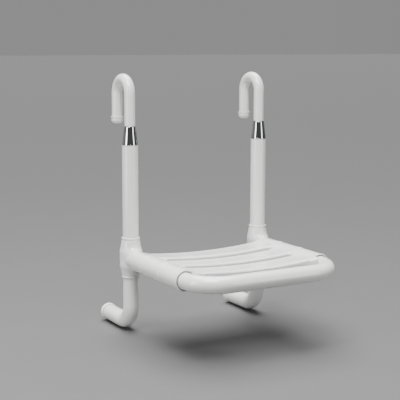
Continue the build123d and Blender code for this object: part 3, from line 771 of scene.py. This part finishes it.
def slat_distance(x, y, z, number):
    """A slat's skin; number is 0 for the rear slat and 2 for the front one."""
    a = np.abs(x)
    rear_y = ring_y[number - 1] - slot_ahead - slot_width / 2
    front_y = ring_y[number] - slot_ahead + slot_width / 2
    arm_rise = arm_radius
    if number == 0:
        rear_y = box_of("rear_slat")[1].y
        arm_rise = arm_radius - 4.5 * MM
    front_line = corner_line if number == 2 else seam(number)
    outline = half_seam - ahead_of(a, y, front_line)
    if number == 0:
        outline = np.maximum(outline, y - rear_y)
    else:
        outline = np.maximum(outline, ahead_of(a, y, seam(number - 1)) + half_seam)
        outline = np.maximum(outline, -slot_distance(a, y, number - 1))
    if number < 2:
        outline = np.maximum(outline, -slot_distance(a, y, number))

    behind = (y - front_y - ridge) / (rear_y - front_y - ridge)
    before = np.clip((front_y + ridge - y) / ridge, 0, 1.5)
    side_fade = 1 - smooth((a - slot_side) / (hanger_x - slot_side - 8 * MM))
    crown = -fall * smooth(0.5 + behind / 2) * 2 + fall
    crown = np.where(behind > 0, crown, -nose * before**2) * side_fade
    line = arm_z + seat_line(a, arm_rise)
    top = z - line - crown
    edge = 1.0 * MM + 1.6 * MM * smooth((slot_side + 6 * MM - a) / (8 * MM))
    body = meet(outline, top, edge)
    body = meet(body, line - lip_depth - z, 1 * MM)
    body = np.maximum(body, a - hanger_x)

    bay = np.maximum(
        a - slot_side + slot_width / 2, np.maximum(front_y + lip_wall - y, y - rear_y + lip_wall)
    )
    for rib in ribs:
        bay = np.maximum(bay, rib_half - np.abs(x - rib))
    pocket = meet(bay, z - line - crown + plate, 1.2 * MM)
    body = carve(body, pocket, 0.5 * MM)

    round_arm = np.hypot(a - hanger_x, z - arm_z)
    if number == 0:
        body = carve(body, round_arm - arm_radius - 0.3 * MM, 0.8 * MM)
        waist = np.hypot(a - hanger_x, y - hanger_y) - waist_radius - 0.4 * MM
        return carve(body, waist, 0.8 * MM)
    ends = (ring_y[number], ring_y[number - 1])
    span = np.maximum(ends[0] + half_seam - y, y - ends[1] + half_seam)
    sleeve = meet(round_arm - arm_radius - beaded(y, ends), span, 0.5 * MM)
    under = 6 * MM * smooth((arm_z + 10 * MM - z) / (10 * MM)) + 0.05 * MM
    body = join(body, sleeve, under)
    body = carve(body, round_arm - push_bore, 0.2 * MM)
    if number == 2:
        mouth = np.maximum(round_arm - arm_radius + 1.6 * MM, y - ends[0] - 6 * MM)
        body = carve(body, mouth, 0.4 * MM)
        body = carve(body, bow_distance(a, y, z) - tube_radius - 0.3 * MM, 0.4 * MM)
    hole_y = (ends[0] + ends[1]) / 2
    screw = np.maximum(np.hypot(a - hanger_x, y - hole_y) - 2.1 * MM, z - arm_z)
    return carve(body, screw, 0.3 * MM)


for number, name in enumerate(("rear", "middle", "front")):
    low, high = box_of(f"{name}_slat")
    margin = 1.5 * MM
    near_ends = [(-end - 22 * MM, -end + 4 * MM) for end in (ring_y[number], ring_y[max(number - 1, 0)])]
    slat_grid = (
        stations(low.x - margin, high.x + margin, 2.2 * MM, 0.9 * MM, [(slot_side - 8 * MM, 1)]),
        stations(low.y - margin, high.y + margin, 1.6 * MM, 0.6 * MM, near_ends),
        np.arange(low.z - margin, high.z + margin, 0.9 * MM),
    )
    slat = drawn_skin(
        f"{name}_seat_slat", lambda px, py, pz: slat_distance(px, py, pz, number), slat_grid
    )
    fit(slat, f"{name}_slat", "seat", seat_nylon)

# ---------------------------------------------------------------------------------------
# Inner pieces. Steel tubes, stainless fasteners and natural nylon bushes, mostly hidden
# inside the sleeves. They keep their machined shapes and get their own finishes.
# ---------------------------------------------------------------------------------------


def steel(name, tone, gloss, line_scale):
    """Bare drawn or turned steel with fine lines round the piece."""
    material, tree, shader = new_material(name, {"Metallic": 1.0})
    place = tree.nodes.new("ShaderNodeTexCoord").outputs["Object"]
    drawn = node_in(tree, "ShaderNodeMapping", {"Scale": (1.0, 1.0, 30.0)}, {"Vector": place})
    lines = node_in(
        tree, "ShaderNodeTexNoise", {"Scale": line_scale, "Detail": 4.0}, {"Vector": drawn.outputs[0]}
    )
    handling = use_group(tree, handling_group, smear_scale=30.0)
    darker = tuple(0.82 * part for part in tone)
    tree.links.new(blend_colours(tree, handling.outputs["Smears"], tone, darker), shader.inputs["Base Color"])
    tree.links.new(scaled(tree, lines.outputs[0], *gloss), shader.inputs["Roughness"])
    bumped(tree, shader, lines.outputs[0], 0.01 * MM)
    return material


finishes = {
    "white_nylon": white_nylon,
    "seat_nylon": seat_nylon,
    "chrome": chrome,
    "buffer": soft_white,
    "inner_nylon": nylon(
        "inner_nylon",
        ((0.72, 0.72, 0.68), (0.66, 0.66, 0.62)),
        (0.4, 0.55),
        200.0,
        0.05 * MM,
        {"Coat Weight": 0.0},
    ),
    "hook_steel": steel("hook_steel", (0.62, 0.62, 0.63), (0.2, 0.42), 60.0),
    "steel_tube": steel("steel_tube", (0.5, 0.5, 0.51), (0.3, 0.5), 40.0),
    "fasteners": steel("fasteners", (0.6, 0.6, 0.6), (0.22, 0.38), 120.0),
}
for part in frame["record"]["subparts"]:
    for slot in frame["nodes"][part["node"]].material_slots:
        slot.material = finishes[part["material_slot"]]

# ---------------------------------------------------------------------------------------
# Floor. A plain pale studio floor just under the legs' bends.
# ---------------------------------------------------------------------------------------
floor_low = cad_box[0]
floor_reach = 40.0
floor_gap = 0.5 * MM  # left under the legs
floor_mesh = bpy.data.meshes.new("studio_floor")
floor_corners = [(-1, -1), (1, -1), (1, 1), (-1, 1)]
floor_z = floor_low[2] - floor_gap
floor_points = [(u * floor_reach, v * floor_reach, floor_z) for u, v in floor_corners]
floor_mesh.from_pydata(floor_points, [], [(0, 1, 2, 3)])
floor = bpy.data.objects.new("studio_floor", floor_mesh)
bpy.context.scene.collection.objects.link(floor)
floor_paint, floor_tree, floor_shader = new_material("floor_paint", {"Roughness": 0.75})
floor_skin = use_group(floor_tree, skin_group, wave_scale=3.0, grain_scale=60.0)
floor_tree.links.new(
    blend_colours(floor_tree, floor_skin.outputs["Clouds"], (0.100, 0.100, 0.100), (0.094, 0.094, 0.094)),
    floor_shader.inputs["Base Color"],
)
floor_mesh.materials.append(floor_paint)

# ---------------------------------------------------------------------------------------
# Light. An even glow from overhead, a big soft key high to the left, and two upright strips
# that the chrome mirrors. The room is dim towards the front and paler behind the seat.
# ---------------------------------------------------------------------------------------
world = bpy.data.worlds.new("studio")
bpy.context.scene.world = world
world.use_nodes = True
sky_tree = world.node_tree
direction = sky_tree.nodes.new("ShaderNodeTexCoord").outputs["Generated"]
split = node_in(sky_tree, "ShaderNodeSeparateXYZ", {}, {"Vector": direction})
depth = node_in(
    sky_tree,
    "ShaderNodeMapRange",
    {"From Min": -0.3, "From Max": 0.8, "To Min": 0.08, "To Max": 0.285},
    {"Value": split.outputs["Y"]},
)
sky_tree.links.new(depth.outputs[0], sky_tree.nodes["Background"].inputs["Color"])


def softbox(name, heading, height, distance, size, power):
    """A rectangular lamp round the seat, its heading and height given in degrees."""
    turn, rise = math.radians(heading), math.radians(height)
    away = Vector((math.sin(turn) * math.cos(rise), -math.cos(turn) * math.cos(rise), math.sin(rise)))
    lamp = bpy.data.lights.new(name, "AREA")
    lamp.shape = "RECTANGLE"
    lamp.size, lamp.size_y = size
    lamp.energy = power
    holder = bpy.data.objects.new(name, lamp)
    holder.location = Vector((0, -0.1, -0.15)) + distance * away
    holder.rotation_mode = "QUATERNION"
    holder.rotation_quaternion = away.to_track_quat("Z", "Y")
    bpy.context.scene.collection.objects.link(holder)


overhead = bpy.data.lights.new("overhead", "SUN")
overhead.energy = 6.5
overhead.angle = math.radians(50)
overhead_holder = bpy.data.objects.new("overhead", overhead)
overhead_holder.rotation_euler = (math.radians(-14), math.radians(6), 0)
bpy.context.scene.collection.objects.link(overhead_holder)
softbox("key", -44, 60, 2.1, (1.2, 0.9), 82)
softbox("left_strip", -86, 7, 1.7, (0.42, 1.1), 15)
softbox("right_strip", 30, 4, 1.9, (0.5, 1.1), 8)

# ---------------------------------------------------------------------------------------
# Camera. A long lens a little above the seat, to the left of its front.
# ---------------------------------------------------------------------------------------
camera_data = bpy.data.cameras.new("camera")
camera_data.sensor_width = 36.0
camera_data.lens = 92.5
camera = bpy.data.objects.new("camera", camera_data)
azimuth = math.radians(-29.70)
elevation = math.radians(8.75)
roll = math.radians(0.17)
target = Vector((-0.0309, -0.1000, -0.2177))
distance = 2.1058
back = Vector(
    (
        math.sin(azimuth) * math.cos(elevation),
        -math.cos(azimuth) * math.cos(elevation),
        math.sin(elevation),
    )
)
right = (-back).cross(Z_AXIS).normalized()
up = right.cross(-back)
tilted_right = math.cos(roll) * right + math.sin(roll) * up
tilted_up = math.cos(roll) * up - math.sin(roll) * right
camera.matrix_world = Matrix.Translation(target + distance * back) @ Matrix(
    (tilted_right, tilted_up, back)
).transposed().to_4x4()
bpy.context.scene.collection.objects.link(camera)
bpy.context.scene.camera = camera
